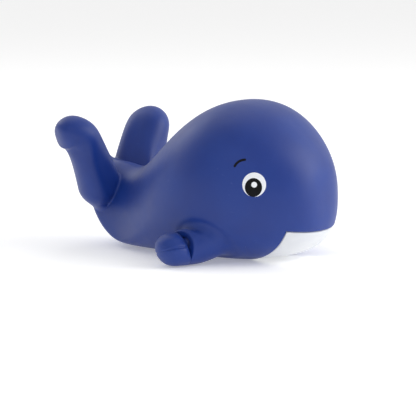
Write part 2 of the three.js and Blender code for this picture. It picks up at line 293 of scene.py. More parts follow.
def bluntness(u):
    # share of its full size that a section has at a station: one in the middle, falling to nought at both ends
    power = body["endRoundness"]
    return np.clip(1 - np.abs(u) ** power, 0, None) ** (1 / power)


def stationOf(sweep):
    # station from -1 to 1 for a sweep from 0 at the tail to pi at the nose: cosine over the ends' norm
    return -np.cos(sweep) / endNorm(sweep)


def sweepOf(u):
    # the sweep that gives a station
    return np.arctan2(bluntness(u), -u)


def sectionSizes(u):
    # quartics through the stations: widest height, reach up, reach down and half width of a section
    middle = np.polyval(curves["widestHeight"], u)
    crown = np.polyval(curves["crown"], u) + hump(u, *body["saddle"]) - hump(u, *body["tailDrop"])
    return middle, crown - middle, middle - np.polyval(curves["keel"], u), np.polyval(curves["halfWidth"], u)


def skinPoint(sweep, angle):
    # superellipse section round the widest height, drawn in at both ends and pressed flat underneath
    sweep, angle = np.broadcast_arrays(np.asarray(sweep, float), np.asarray(angle, float))
    u = stationOf(sweep)
    blunt = np.abs(np.sin(sweep)) / endNorm(sweep)
    middle, up, down, across = sectionSizes(u)
    c, s = np.cos(angle), np.sin(angle)
    power = np.where(s > 0, body["upperRoundness"], body["lowerRoundness"])
    reach = blunt * (np.abs(c) ** power + np.abs(s) ** power) ** (-1 / power)
    z = middle + np.where(s > 0, up, down) * reach * s
    x = body["halfLength"] * u + forwards
    return np.stack([x, across * reach * c, softFloor(z, 0, body["baseSoftness"])], -1)


def sectionAt(p):
    # station, height over the widest height, and the section's reach up or down and half width there
    u = np.clip((p[..., 0] - forwards) / body["halfLength"], -0.99999, 0.99999)
    middle, up, down, across = sectionSizes(u)
    blunt = bluntness(u)
    rise = p[..., 2] - middle
    return u, rise, np.where(rise > 0, up, down) * blunt, across * blunt


def outside(p):
    # positive outside the skin: the superellipse size of the point in its section, less one
    _, rise, reach, across = sectionAt(p)
    power = np.where(rise > 0, body["upperRoundness"], body["lowerRoundness"])
    return (np.abs(p[..., 1] / across) ** power + np.abs(rise / reach) ** power) ** (1 / power) - 1


def coordinates(p):
    # sweep and section angle of a point on the skin
    u, rise, reach, across = sectionAt(p)
    return sweepOf(u), np.arctan2(rise / reach, p[..., 1] / across)


def skinSlopes(sweep, angle, step=1e-4):
    # central differences along the body and round its section
    lengthwise = (skinPoint(sweep + step, angle) - skinPoint(sweep - step, angle)) / (2 * step)
    around = (skinPoint(sweep, angle + step) - skinPoint(sweep, angle - step)) / (2 * step)
    return lengthwise, around


def skinNormal(sweep, angle):
    # cross product of the two slopes, outwards
    lengthwise, around = skinSlopes(sweep, angle)
    return unit(np.cross(around, lengthwise))


def solvePair(a, b, c, d, p, q):
    # the two unknowns of a pair of linear equations, by Cramer's rule
    size = a * d - b * c
    return (p * d - b * q) / size, (a * q - p * c) / size


def walk(sweep, angle, heading, distance, steps=10):
    # carries skin points along the skin towards a heading, by least squares on the two slopes at each step
    for _ in range(steps):
        lengthwise, around = skinSlopes(sweep, angle)
        normal = unit(np.cross(around, lengthwise))
        along = unit(heading - dot(heading, normal)[..., None] * normal)
        move = along * np.asarray(distance)[..., None] / steps
        cross = dot(lengthwise, around)
        turns = solvePair(dot(lengthwise, lengthwise), cross, cross, dot(around, around),
                          dot(lengthwise, move), dot(around, move))
        sweep, angle = sweep + turns[0], angle + turns[1]
    return sweep, angle


def seek(sweep, angle, centre, first, second, p, q, steps=12, longest=0.1):
    # Newton steps to the skin point that lies p along one direction and q along another from a centre
    for _ in range(steps):
        lengthwise, around = skinSlopes(sweep, angle)
        away = skinPoint(sweep, angle) - centre
        turns = solvePair(lengthwise @ first, around @ first, lengthwise @ second, around @ second,
                          p - away @ first, q - away @ second)
        sweep = sweep + np.clip(turns[0], -longest, longest)
        angle = angle + np.clip(turns[1], -longest, longest)
    return sweep, angle


def halve(low, high, isHigh, times=44):
    # the place where a test turns true, found by halving the stretch between a low and a high end
    for _ in range(times):
        middle = (low + high) / 2
        past = isHigh(middle)
        high = np.where(past, middle, high)
        low = np.where(past, low, middle)
    return high


def gridFaces(rows, columns, first, closed):
    # corner numbers of the quads between neighbouring rows and columns
    index = first + np.arange(rows * columns).reshape(rows, columns)
    right = np.roll(index, -1, axis=1) if closed else index[:, 1:]
    left = index if closed else index[:, :-1]
    return np.stack([left[:-1], right[:-1], right[1:], left[1:]], -1)


def makePiece(name, grids, rider, slot, *nodes):
    # one mesh from grids of points, each with a flag for closed columns and a mask of the faces that are kept
    points, faces, count = [], [], 0
    for grid, closed, kept in grids:
        quads = gridFaces(grid.shape[0], grid.shape[1], count, closed)
        faces.append(quads.reshape(-1, 4) if kept is None else quads[kept])
        points.append(grid.reshape(-1, 3))
        count += points[-1].shape[0]
    mesh = bpy.data.meshes.new(name)
    mesh.from_pydata((np.concatenate(points) * mm).tolist(), [], np.concatenate(faces).tolist())
    work = bmesh.new()
    work.from_mesh(mesh)
    bmesh.ops.remove_doubles(work, verts=work.verts, dist=1e-6)
    bmesh.ops.dissolve_degenerate(work, edges=work.edges, dist=1e-7)
    bmesh.ops.delete(work, geom=[vert for vert in work.verts if not vert.link_faces], context="VERTS")
    bmesh.ops.recalc_face_normals(work, faces=work.faces)
    work.to_mesh(mesh)
    seams = sum(len(edge.link_faces) != 2 for edge in work.edges)
    work.free()
    mesh.polygons.foreach_set("use_smooth", np.ones(len(mesh.polygons), bool))
    piece = bpy.data.objects.new(name, mesh)
    bpy.context.scene.collection.objects.link(piece)
    piece.data.materials.append(finishes[slot])
    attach(piece, rider)
    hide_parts(*nodes)
    print(name, len(mesh.polygons), "faces,", seams, "open edges")
    return piece


def mirrored(grid):
    # the same grid on the toy's other side
    return grid * np.array([1, -1, 1])


def bezier(a, b, c, d, count):
    # cubic curve from a to d with handles b and c, without its first point
    t = np.linspace(0, 1, count + 1)[1:, None, None]
    return a * (1 - t) ** 3 + 3 * b * t * (1 - t) ** 2 + 3 * c * t ** 2 * (1 - t) + d * t ** 3


def roundCorner(corner, before, after, radius, count=6):
    # quarter turn of points from one side of a square corner to the other
    corner, before, after = (np.array(v, float) for v in (corner, before, after))
    arc = np.linspace(0, math.pi / 2, count)[:, None]
    centre = corner + radius * (before + after)
    return (centre - radius * (before * np.sin(arc) + after * np.cos(arc))).tolist()


mouth = {
    "lipHeight": 15.1,
    "lipDip": 1.2,          # how much lower the lip runs in the middle
    "halfWidth": 18,
    "cheekX": 54.9,
    "backX": 22,
    "taper": 1.4,
    "tipSoftness": 1,
    "gap": 0.3,
    "lipEdge": 0.9,         # rounding of the blue edge over the mouth
    "cheekEdge": 0.45,      # and of the blue edge beside the chin
    "edgeChange": 2,        # how quickly the one turns into the other
    "depth": 2.3,
    "wallRows": 5,
    "floorRows": 25,
    "leastSlopes": (0.004, 0.05),       # that the outline's and the lip's distances are worked out with
    "cornerBetween": (0.3, 1.45),       # radians from straight down
}


def slopeOnSkin(slope, normal, least):
    # length of the part of a field's slope that lies in the skin, and no less than a least value
    return np.maximum(np.linalg.norm(slope - dot(slope, normal)[..., None] * normal, axis=-1), least)


def mouthDistances(sweep, angle):
    # distances along the skin outside the chin's plan outline and above its lip: each field over its slope
    p, normal = skinPoint(sweep, angle), skinNormal(sweep, angle)
    taper, soft, half = mouth["taper"], mouth["tipSoftness"], mouth["halfWidth"]
    length = mouth["cheekX"] - mouth["backX"]
    share = np.clip((mouth["cheekX"] + forwards - p[..., 0]) / length, 0, None)
    side = np.abs(p[..., 1])
    ratio = side ** 2 / (side + soft) * (1 + soft / half) / half
    total = np.maximum(share ** taper + ratio ** taper, 1e-6)
    outline = total ** (1 / taper) - 1
    scale = total ** (1 / taper - 1)
    slopeX = -share ** (taper - 1) * scale / length
    slopeY = ratio ** (taper - 1) * scale / half * np.sign(p[..., 1])
    slope = np.stack([slopeX, slopeY, np.zeros_like(slopeX)], -1)
    cheek = outline / slopeOnSkin(slope, normal, mouth["leastSlopes"][0])
    dip = mouth["lipDip"] / half ** 2
    slope = np.stack([0 * side, -2 * dip * p[..., 1], 1 + 0 * side], -1)
    rise = p[..., 2] - mouth["lipHeight"] + mouth["lipDip"] - dip * side ** 2
    return cheek, rise / slopeOnSkin(slope, normal, mouth["leastSlopes"][1])


def mouthSpan(angle, grow):
    # sweeps at which a column enters the mouth across the chin's outline and leaves it over the lip
    low, high = np.full_like(angle, math.pi / 2), np.full_like(angle, math.pi - 0.01)
    enter = halve(low, high, lambda sweep: mouthDistances(sweep, angle)[0] < grow)
    leave = halve(low, high, lambda sweep: mouthDistances(sweep, angle)[1] > grow)
    return enter, leave


def mouthCorner(grow):
    # half angle and sweep of the place where the mouth's two lines meet, by five ever closer rows of trials
    low, high = mouth["cornerBetween"]
    for _ in range(5):
        spreads = np.linspace(low, high, 40)
        enter, leave = mouthSpan(spreads + 1.5 * math.pi, grow)
        first = int(np.argmax(enter > leave))
        low, high = spreads[first - 1], spreads[first]
    return high, enter[first]


def rounded(distance, radius):
    # how far an edge of that radius has dropped at a distance from its end
    return radius - np.sqrt(np.clip(radius ** 2 - np.clip(radius - distance, 0, radius) ** 2, 0, None))


def castingPoint(sweep, angle):
    # the skin, let down round the mouth's edge
    cheek, lip = mouthDistances(sweep, angle)
    cheek, lip = cheek - mouth["gap"], lip - mouth["gap"]
    distance = np.where((cheek > 0) & (lip > 0), np.hypot(cheek, lip), np.maximum(cheek, lip))
    change = 1 + np.exp(np.clip(-mouth["edgeChange"] * (lip - cheek), -30, 30))
    radius = mouth["cheekEdge"] + (mouth["lipEdge"] - mouth["cheekEdge"]) / change
    drop = rounded(np.clip(distance, 0, None), radius)
    return skinPoint(sweep, angle) - skinNormal(sweep, angle) * np.where(drop > 1e-9, drop, 0)[..., None]


# Columns of the casting: across the mouth, then round over the crown, closer together at the mouth's corners
halfMouth, cornerSweep = mouthCorner(mouth["gap"])
mouthAngles = 1.5 * math.pi - halfMouth * np.cos(np.linspace(0, math.pi, body["mouthColumns"] + 1))
ease = np.linspace(-1, 1, body["otherColumns"] + 1)
ease = ease * (1 + body["crowding"] * (1 - np.abs(ease)))
otherAngles = 2.5 * math.pi + (math.pi - halfMouth) * ease
angles = np.concatenate([mouthAngles, otherAngles[1:-1]])
inMouth = np.arange(len(mouthAngles))
enter = np.full(len(angles), cornerSweep)
leave = enter.copy()
enter[inMouth], leave[inMouth] = mouthSpan(mouthAngles, mouth["gap"])
enter[[0, inMouth[-1]]] = leave[[0, inMouth[-1]]] = cornerSweep

# Rows from the tail to the mouth, and from the lip to the nose
fromMouth = body["edgeReach"] * np.linspace(1, 0, body["edgeRows"])[1:] ** 2
towards = np.concatenate([np.linspace(0, 1 - body["edgeReach"], body["tailRows"]), 1 - fromMouth])
tailSweeps = towards[:, None] * enter
tailAngles = np.broadcast_to(angles, tailSweeps.shape)
tailGrid = castingPoint(tailSweeps, tailAngles)
tailKept = np.ones((tailGrid.shape[0] - 1, tailGrid.shape[1]), bool)
fromLip = np.linspace(0, 1, body["edgeRows"])[:-1] ** 2 * body["noseReach"]
away = np.concatenate([fromLip, np.linspace(body["noseReach"], 1, body["noseRows"])])
noseGrid = castingPoint(leave + away[:, None] * (math.pi - leave), tailAngles[:1])
noseGrid[-1] = noseGrid[-1].mean(axis=0)
print("skin laid out", tailGrid.shape, noseGrid.shape)


def pocketGrid():
    # the mouth's pocket in columns: down one wall, across the floor under the skin and up the other wall
    lowered = np.linspace(0, 1, mouth["wallRows"] + 1)[1:, None, None]
    first, last = tailGrid[-1, inMouth], noseGrid[0, inMouth]
    across = np.linspace(0, 1, mouth["floorRows"] + 1)[:, None]
    floorSweeps = enter[inMouth] + across * (leave - enter)[inMouth]
    floor = skinPoint(floorSweeps, mouthAngles) - skinNormal(floorSweeps, mouthAngles) * mouth["depth"]
    down = first + lowered * (floor[0] - first)
    up = floor[-1] + lowered * (last - floor[-1])
    return np.concatenate([first[None], down, floor[1:], up])


def blockAround(rows, columns):
    # rows and columns of the tail grid's outline round a block, as one loop of index pairs
    top = [(rows[0], column) for column in columns]
    right = [(row, columns[-1]) for row in rows[1:]]
    bottom = [(rows[-1], column) for column in columns[::-1][1:]]
    left = [(row, columns[0]) for row in rows[::-1][1:-1]]
    return np.array(top + right + bottom + left)


def otherSide(columns):
    # columns that mirror the given ones, for columns that run across the mouth and then over the crown
    last, count = len(mouthAngles) - 1, len(angles)
    return np.where(columns <= last, last - columns, count + last - columns)


def apron(loop, inner, rings=9):
    # rings of the casting from a block's outline in to a ring given by its sweeps and angles
    share = np.linspace(0, 1, rings)[:, None]
    sweep, angle = tailSweeps[loop[:, 0], loop[:, 1]], tailAngles[loop[:, 0], loop[:, 1]]
    return castingPoint(sweep + share * (inner[0] - sweep), angle + share * (inner[1] - angle))


shoulder = {
    "station": 0.315,
    "angle": -38.7,
    "radius": 7.9,          # of the open end
    "offset": 1,            # how far below the axis the open end's ring lies
    "footRadius": 6.5,
    "footOffset": 1.9,
    "flare": 3.1,           # how much further forwards the foot spreads
    "flareAt": 20,          # degrees from forwards to upwards of its widest place
    "fullness": 0.9,        # swelling half way
    "creaseAt": 42,         # degrees from forwards to upwards, where the crease opens widest
    "creaseWidth": 78,      # degrees to either side at which it has closed
    "creasePower": 1.2,
    "creaseDepth": 2.3,     # how far the end is set back there
    "creaseRounding": 0.9,
    "flushRounding": 0.25,
    "valley": 0.35,         # hollow in the body round the shoulder
    "valleyWidth": 3,
    "rim": 0.18,            # and the low swelling outside it
    "rimAt": 5.4,
    "rimWidth": 1.8,
    "skirt": 8.5,           # how far from the foot the two have died away
    "filletOut": 3.8,       # where the fillet starts on the body
    "filletUp": 3.3,        # and the most that it climbs up the wall
    "filletShare": 0.6,     # or the share of a lower wall
    "filletHandle": 0.55,
    "faceRadii": [5.2, 4.4],
    "holeRadius": 3.5,
    "chamberRadius": 5.4,
    "chamberDepth": 5.2,
    "wall": 2.5,
    "floor": 0.15,
    "floorSoftness": 0.7,
    "liftFrom": 4,          # rings inside the apron at which the floor starts to tell
    "liftOver": 10,         # and rings over which it comes in
    "blockReach": 18.5,
    "blockHeight": 22,
    "evenShare": 0.1,       # how far the columns are drawn towards an even spacing
    "footRings": 10,
    "skirtRings": 18,
    "filletRings": 10,
    "wallRings": 14,
    "endRings": 10,
}
swivel = next(joint for joint in frame["joints"] if joint["name"] == "left_flipper_swivel")
direction, pivot = unit(np.array(swivel["axis"])), np.array(swivel["pos_m"]) / mm
aheadways = unit(np.cross(direction, [0, 0, 1]))      # level, and forwards of the flipper
upways = np.cross(aheadways, direction)


def aboutAxis(radius, turn, height, lowered=0.0):
    # a point at a radius and turn about the flipper's axis and a height along it, let down square to it
    radius, turn, height, lowered = np.broadcast_arrays(
        np.asarray(radius, float), turn, np.asarray(height, float), lowered)
    ahead, rise = radius * np.cos(turn), radius * np.sin(turn) - lowered
    return pivot + ahead[..., None] * aheadways + rise[..., None] * upways + height[..., None] * direction


def creaseShare(turn):
    # one where the crease by the paddle is widest, falling as a cosine to nought where it closes
    aside = degreesFrom(turn, shoulder["creaseAt"]) / shoulder["creaseWidth"]
    return np.cos(np.clip(aside, -1, 1) * math.pi / 2) ** shoulder["creasePower"]


def shoulderSize(turn, share):
    # radius and lowering from the open end at nought to the foot at one: a squared flare, a swelling half way
    flare = shoulder["flare"] * share ** 2 * facing(turn, shoulder["flareAt"]) ** 2
    radius = shoulder["radius"] + (shoulder["footRadius"] - shoulder["radius"]) * share + flare
    lowered = shoulder["offset"] + (shoulder["footOffset"] - shoulder["offset"]) * share + 0 * turn
    return radius + shoulder["fullness"] * np.sin(math.pi * share), lowered


def shoulderEnd(turn):
    # rounding of the end's edge and how far it is set back, both by the crease's share
    share = creaseShare(turn)
    rounding = shoulder["flushRounding"] + (shoulder["creaseRounding"] - shoulder["flushRounding"]) * share
    return rounding, shoulder["creaseDepth"] * share


def filletClimb(turn, footHeight):
    # how far the fillet climbs: at most its share of the way from the foot to the end's rounding
    rounding, setBack = shoulderEnd(turn)
    return np.minimum(shoulder["filletUp"], shoulder["filletShare"] * (-setBack - rounding - footHeight))


def shoulderSpot(turn, share, footHeight):
    # radius, turn, height and lowering of the wall, from the end's rounding at nought to the fillet at one
    radius, lowered = shoulderSize(turn, share)
    rounding, setBack = shoulderEnd(turn)
    low = footHeight + filletClimb(turn, footHeight)
    return radius, turn, low * share - (setBack + rounding) * (1 - share), lowered


def shoulderTurns(loop):
    # turn of each column by the block's outline, in order all round and drawn a little towards an even spacing
    out = tailGrid[loop[:, 0], loop[:, 1]] - pivot + shoulder["footOffset"] * upways
    turn = np.unwrap(np.arctan2(out @ upways, out @ aheadways))
    way = np.sign(turn[-1] - turn[0])
    even = turn[0] + way * 2 * math.pi * np.arange(len(turn)) / len(turn)
    return (1 - shoulder["evenShare"]) * way * np.sort(way * turn) + shoulder["evenShare"] * even


def shoulderFoot(turn):
    # sweeps and angles of the foot's ring on the skin, sought outwards from the shoulder's middle
    radius, lowered = shoulderSize(turn, 1)
    sweep = np.full(len(turn), float(sweepOf(shoulder["station"])))
    angle = np.full(len(turn), math.radians(shoulder["angle"]) + 2 * math.pi)
    for part in np.linspace(0.05, 1, shoulder["footRings"]):
        sweep, angle = seek(sweep, angle, pivot, aheadways, upways,
                            part * radius * np.cos(turn), part * (radius * np.sin(turn) - lowered))
    return sweep, angle


def shoulderSkirt(turn, here):
    # rings of the skin from the fillet's start outwards, with a valley and a low rim, and the last one's place
    radial = np.cos(turn)[:, None] * aheadways + np.sin(turn)[:, None] * upways
    rings, last, rimAt = [], 0, shoulder["rimAt"]
    for part in np.linspace(0, 1, shoulder["skirtRings"]):
        distance = shoulder["filletOut"] + part * (shoulder["skirt"] - shoulder["filletOut"])
        here = walk(*here, radial, np.full(len(turn), distance - last))
        last = distance
        rim = shoulder["rim"] * bell(distance - rimAt, shoulder["rimWidth"])
        height = rim - shoulder["valley"] * bell(distance, shoulder["valleyWidth"])
        height = height * (1 - np.clip((distance - rimAt) / (shoulder["skirt"] - rimAt), 0, 1) ** 2)
        rings.append(skinPoint(*here) + skinNormal(*here) * height)
    return np.array(rings[::-1]), here


def shoulderGrid(loop):
    # rings from the casting's block inwards: apron, rim and valley, fillet, wall, rounded end and socket
    turn = shoulderTurns(loop)
    foot = shoulderFoot(turn)
    footHeight = (skinPoint(*foot) - pivot) @ direction
    skirt, outermost = shoulderSkirt(turn, foot)
    ring = apron(loop, outermost)[:-1]
    climb, handle = filletClimb(turn, footHeight), shoulder["filletHandle"]
    radius, lowered = shoulderSize(turn, 1)
    wallFoot = aboutAxis(radius, turn, footHeight + climb, lowered)
    upwards = unit(aboutAxis(*shoulderSpot(turn, 0.95, footHeight)) - wallFoot)
    inwards = unit(skirt[-1] - skirt[-2])
    fillet = bezier(skirt[-1], skirt[-1] + handle * shoulder["filletOut"] * inwards,
                    wallFoot - handle * np.abs(climb)[:, None] * upwards, wallFoot, shoulder["filletRings"])
    share = np.linspace(1, 0, shoulder["wallRings"] + 1)[1:, None]
    wall = aboutAxis(*shoulderSpot(turn, share, footHeight))
    rounding, setBack = shoulderEnd(turn)
    radius, lowered = shoulderSize(turn, share)
    arc = np.linspace(0, math.pi / 2, shoulder["endRings"] + 1)[1:, None]
    end = aboutAxis(radius[-1] - rounding * (1 - np.cos(arc)), turn,
                    -setBack - rounding * (1 - np.sin(arc)), lowered[-1])
    face = aboutAxis(np.array(shoulder["faceRadii"] + [shoulder["holeRadius"]])[:, None], turn, -setBack)
    profile = np.array([
        [shoulder["holeRadius"], -shoulder["wall"]], [shoulder["chamberRadius"], -shoulder["wall"]],
        [shoulder["chamberRadius"], -shoulder["chamberDepth"]], [0, -shoulder["chamberDepth"]],
    ])
    socket = aboutAxis(profile[:, :1], turn, profile[:, 1:])
    grid = np.concatenate([ring, skirt, fillet, wall, end, face, socket])
    lifted = softFloor(grid[..., 2], shoulder["floor"], shoulder["floorSoftness"])
    part = (np.arange(len(grid))[:, None] - len(ring) - shoulder["liftFrom"]) / shoulder["liftOver"]
    grid[..., 2] = grid[..., 2] + np.clip(part, 0, 1) * (lifted - grid[..., 2])
    return grid


fromPivot = tailGrid - pivot
near = np.linalg.norm(np.cross(fromPivot, direction), axis=-1) < shoulder["blockReach"]
near = near & (tailGrid[..., 1] > 0) & (np.abs(fromPivot @ direction) < shoulder["blockHeight"])
rowsNear, columnsNear = np.flatnonzero(near.any(1)), np.flatnonzero(near.any(0))
rowsNear = np.arange(rowsNear[0] - 2, rowsNear[-1] + 3)
columnsNear = np.arange(columnsNear[0] - 2, columnsNear[-1] + 3)
shoulderRings = shoulderGrid(blockAround(rowsNear, columnsNear))
for columns in (columnsNear[:-1], otherSide(columnsNear[1:])):
    tailKept[np.ix_(rowsNear[:-1], columns)] = False
print("shoulders laid out, rows", rowsNear[[0, -1]], "columns", columnsNear[[0, -1]], "pivot", pivot)

squirt = {
    "x": 4,
    "boreRadius": 1.5,
    "boreEdge": 0.3,
    "neckRadius": 2.4,
    "ringRadius": 4.05,
    "ringEdge": 0.35,
    "ringTop": 0.25,
    "thickness": 1,
    "neckTop": 2.8,
    "barbRadius": 3.2,
    "barbLength": 1.6,
    "gap": 0.3,
    "seatEdge": 0.4,
    "seatTop": 9,
    "blockReach": 7.5,
    "blockHeight": 2,
    "columns": 96,
}
squirtCentre = np.array([squirt["x"] + forwards, 0, 0])
axes = np.eye(3)


def turnedProfile(profile, turn):
    # radii and heights turned about the squirt hole's upright axis
    flat = np.stack([np.cos(turn), np.sin(turn), np.zeros(len(turn))], -1)
    return squirtCentre + profile[:, :1, None] * flat + profile[:, 1:, None] * axes[2]


def seatGrid(loop):
    # rings from the casting's block in to the eyelet's seat: apron, rounded rim, floor and the neck's hole
    out = tailGrid[loop[:, 0], loop[:, 1]] - squirtCentre
    turn = np.arctan2(out[:, 1], out[:, 0])
    seatRadius, clearNeck = squirt["ringRadius"] + squirt["gap"], squirt["neckRadius"] + squirt["gap"]
    rimRadius = seatRadius + squirt["seatEdge"]
    sweep = np.full(len(turn), float(sweepOf(squirt["x"] / body["halfLength"])))
    rim = seek(sweep, np.full(len(turn), 1.5 * math.pi), squirtCentre, axes[0], axes[1],
               rimRadius * np.cos(turn), rimRadius * np.sin(turn))
    seatFloor = squirt["thickness"] + 2 * squirt["gap"]
    profile = roundCorner([seatRadius, 0], [1, 0], [0, 1], squirt["seatEdge"])[1:]
    profile += [[seatRadius, seatFloor], [clearNeck, seatFloor], [clearNeck, squirt["seatTop"]],
                [0, squirt["seatTop"]]]
    return np.concatenate([apron(loop, rim), turnedProfile(np.array(profile), turn)])


fromHole = np.abs(tailGrid - squirtCentre)
near = (fromHole[..., :2] < squirt["blockReach"]).all(-1) & (tailGrid[..., 2] < squirt["blockHeight"])
rows, columns = np.flatnonzero(near.any(1)), np.flatnonzero(near.any(0))
squirtRings = seatGrid(blockAround(rows, columns))
tailKept[np.ix_(rows[:-1], columns[:-1])] = False

makePiece("body_casting", [
    (tailGrid, True, tailKept), (pocketGrid(), False, None), (noseGrid, True, None),
    (shoulderRings, True, None), (mirrored(shoulderRings), True, None), (squirtRings, True, None),
], "body", "blue_vinyl", "body_shell")

# The eyelet: a flat ring with a rounded rim, a neck through the wall and a barb behind it
bore, neck, outer, barb = (squirt[name] for name in ("boreRadius", "neckRadius", "ringRadius", "barbRadius"))
top, neckTop, barbTop = squirt["ringTop"], squirt["neckTop"], squirt["neckTop"] + squirt["barbLength"]
profile = roundCorner([bore, top], [0, 1], [1, 0], squirt["boreEdge"])
profile += roundCorner([outer, top], [-1, 0], [0, 1], squirt["ringEdge"])
profile += [[outer, top + squirt["thickness"]], [neck, top + squirt["thickness"]], [neck, neckTop],
            [barb, neckTop], [neck, barbTop], [bore, barbTop]]
turn = wholeTurn(squirt["columns"])
eyeletGrid = turnedProfile(np.array(profile + profile[:1]), turn)
makePiece("squirt_ring", [(eyeletGrid, True, None)], "body", "blue_vinyl", "squirt_nozzle")

chin = {
    "setBack": 0.4,
    "edge": 0.5,
    "depth": 1.9,
    "columns": 90,
    "rows": 120,
    "crowding": 1.8,        # how much closer the rows stand at both ends
    "sideRows": 3,
}
# The chin: a tongue of the same skin, set back a little, with its edges turned down
halfChin, chinCorner = mouthCorner(0)
chinAngles = 1.5 * math.pi - halfChin * np.cos(np.linspace(0, math.pi, chin["columns"] + 1))
chinEnter, chinLeave = mouthSpan(chinAngles, 0)
chinEnter[[0, -1]] = chinLeave[[0, -1]] = chinCorner
spacing = np.linspace(-1, 1, chin["rows"] + 1)[:, None]
spacing = 0.5 + 0.5 * np.sign(spacing) * (1 - (1 - np.abs(spacing)) ** chin["crowding"])
chinSweeps = chinEnter + spacing * (chinLeave - chinEnter)
cheek, lip = mouthDistances(chinSweeps, chinAngles)
drop = chin["setBack"] + rounded(np.clip(-np.maximum(cheek, lip), 0, None), chin["edge"])
chinSkin, outwards = skinPoint(chinSweeps, chinAngles), skinNormal(chinSweeps, chinAngles)
chinTop = chinSkin - outwards * drop[..., None]
chinUnder = chinSkin - outwards * chin["depth"]
side = np.linspace(0, 1, chin["sideRows"] + 2)[1:-1, None, None]
chinGrid = np.concatenate([
    chinTop, chinTop[-1] + side * (chinUnder[-1] - chinTop[-1]),
    chinUnder[::-1], chinUnder[0] + side * (chinTop[0] - chinUnder[0]), chinTop[:1],
])
makePiece("chin_insert", [(chinGrid, False, None)], "body", "white_vinyl", "chin")

paddle = {
    "length": 11.6,
    "middle": 4.2,
    "halfWidth": 8.4,
    "halfThickness": 7.4,
    "drop": 1.1,            # how far its middle lies below the axis at the joint
    "lift": 0.14,           # and how much less for each millimetre outwards
    "roundness": 2.15,
    "gap": 0.12,
    "flushRadius": 7.85,
    "flushReach": 4.6,
    "creaseRadius": 5.6,
    "creaseReach": 2.2,
    "neckRadius": 3.2,
    "flangeRadius": 4.8,
    "flangeThickness": 1.4,
    "flangeEdge": 0.3,
    "flangeGap": 0.3,
    "lineAt": 15,           # degrees from forwards to upwards of the mould's parting groove
    "lineDepth": 0.6,
    "lineWidth": 0.42,
    "facetAt": 36,          # and of the flatter strip above it
    "facetDepth": 0.4,
    "facetWidth": 14,
    "fadeIn": 2.5,          # height over which both come in
    "fadeOut": 3,           # and radius over which they fade at the tip
    "rows": 90,
    "columns": 240,
}


def paddleGrid():
    # superellipse along the axis on an oval section, flared to meet the shoulder where no crease shows,
    # with a groove and a flatter strip, and the neck and flange behind it
    turn = wholeTurn(paddle["columns"])
    reach, power = paddle["length"] - paddle["middle"], paddle["roundness"]
    along = np.sin(np.linspace(0, math.pi / 2, paddle["rows"]))[:, None]
    height = paddle["gap"] + (paddle["length"] - paddle["gap"]) * along
    oval = 1 / np.hypot(np.cos(turn) / paddle["halfWidth"], np.sin(turn) / paddle["halfThickness"])
    radius = oval * np.clip(1 - np.abs((height - paddle["middle"]) / reach) ** power, 0, None) ** (1 / power)
    share = creaseShare(turn)
    flush, creased = paddle["flushRadius"] - radius[0], paddle["creaseRadius"] - radius[0]
    flush = flush * np.clip(1 - height / paddle["flushReach"], 0, 1) ** 2 * (1 - share)
    creased = creased * np.clip(1 - (height / paddle["creaseReach"]) ** 2, 0, 1) ** 1.5 * share
    radius = radius + flush + creased
    line, facet = math.radians(paddle["lineAt"]), math.radians(paddle["facetAt"])
    window = np.clip(height / paddle["fadeIn"], 0, 1) * np.clip(radius / paddle["fadeOut"], 0, 1)
    radius = radius - window * paddle["lineDepth"] * bell(radius * np.sin(turn - line), paddle["lineWidth"])
    radius = radius - window * paddle["facetDepth"] * bell(np.degrees(turn - facet), paddle["facetWidth"])
    points = aboutAxis(radius, turn, height, paddle["drop"] - paddle["lift"] * height)
    points[-1] = points[-1].mean(axis=0)
    points[..., 2] = softFloor(points[..., 2], shoulder["floor"], shoulder["floorSoftness"])
    flange, edge, seat = paddle["flangeRadius"], paddle["flangeEdge"], -shoulder["wall"] - paddle["flangeGap"]
    back = seat - paddle["flangeThickness"]
    profile = np.array([[0, back], [flange - edge, back], [flange, back + edge], [flange, seat],
                        [paddle["neckRadius"], seat], [paddle["neckRadius"], paddle["gap"]]])
    return np.concatenate([aboutAxis(profile[:, :1], turn, profile[:, 1:]), points])


grid = paddleGrid()
makePiece("left_paddle", [(grid, True, None)], "left_flipper", "blue_vinyl", "left_flipper")
makePiece("right_paddle", [(mirrored(grid), True, None)], "right_flipper", "blue_vinyl", "right_flipper")

fluke = {
    "station": -0.834,
    "rootAside": 11,
    "rootRise": 3.3,
    "bend": [1.1, 10.2, 38.4],
    "tip": [-5.8, 24, 34.7],
    "halfWidth": 11.8,
    "halfThickness": 9.1,
    "twist": 40,
    "rootRounding": 0.13,
    "tipRoundness": 2.9,
    "filletSmall": 1.5,     # along the front edge and the saddle
    "filletLarge": 3,       # at the outer side
    "filletAt": 100,
    "filletPower": 2.5,
    "filletHandle": 0.55,
    "filletRings": 10,
    "sunk": 0.03,           # how far the fillet's edge lies in the body
    "endDepth": 1.5,        # and how deep the closed end goes, at its rim and in its middle
    "endMiddle": 4,
    "rows": 110,
    "columns": 200,
    # share along the spine, degrees round it, share of the size added there, and the reach of each
    "forms": [
        [0.93, 120, 0.26, 0.17, 60],     # curl of the tip
        [0.95, 225, -0.12, 0.12, 45],    # drawn in behind it
        [0.84, 268, 0.12, 0.12, 45],     # fuller inner side of the tip
        [0.45, 120, -0.06, 0.16, 45],    # drawn in under the curl
        [0.62, 48, -0.20, 0.13, 42],     # hollow below it
        [0.30, 335, -0.13, 0.20, 28],    # hollow down the front
        [0.18, 294, 0.16, 0.13, 17],     # ridge at the front edge
        [0.66, 297, 0.17, 0.14, 38],     # and where it broadens above
        [0.40, 250, -0.15, 0.24, 26],    # hollow inner side
        [0.45, 185, -0.07, 0.35, 38],    # slimmer back
    ],
}


